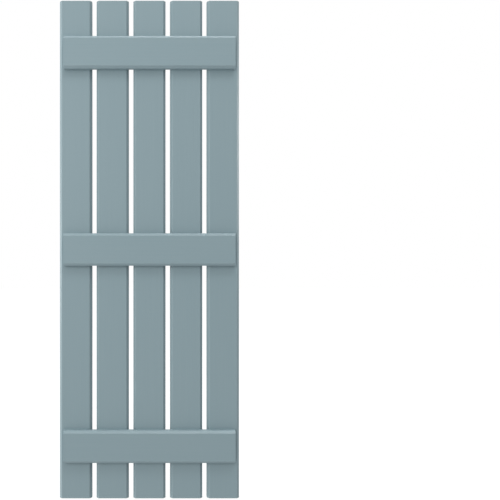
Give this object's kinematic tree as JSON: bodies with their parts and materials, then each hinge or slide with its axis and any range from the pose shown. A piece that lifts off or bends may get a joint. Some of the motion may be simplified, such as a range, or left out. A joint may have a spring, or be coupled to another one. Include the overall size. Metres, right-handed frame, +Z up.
{
  "type": "board and batten shutter",
  "caption": "Spaced board and batten window shutter: upright boards with bevelled edges, joined across the front by level battens, painted, to be fixed flat on an outside wall.",
  "frame": {"origin": "middle of the centre board's back face, on the plane that lies against the wall", "axes": "+Z up along the boards, +Y from the front towards the wall, +X to the right of someone facing the front"},
  "size_m": [0.4952, 0.0381, 1.3716],
  "materials": {
    "painted_wood": "satin",
    "screw_steel": "satin"
  },
  "bodies": {
    "root": {"left_outer_board": "painted_wood", "left_inner_board": "painted_wood", "centre_board": "painted_wood", "right_inner_board": "painted_wood", "right_outer_board": "painted_wood", "bottom_batten": "painted_wood", "middle_batten": "painted_wood", "top_batten": "painted_wood"}
  },
  "joints": []
}
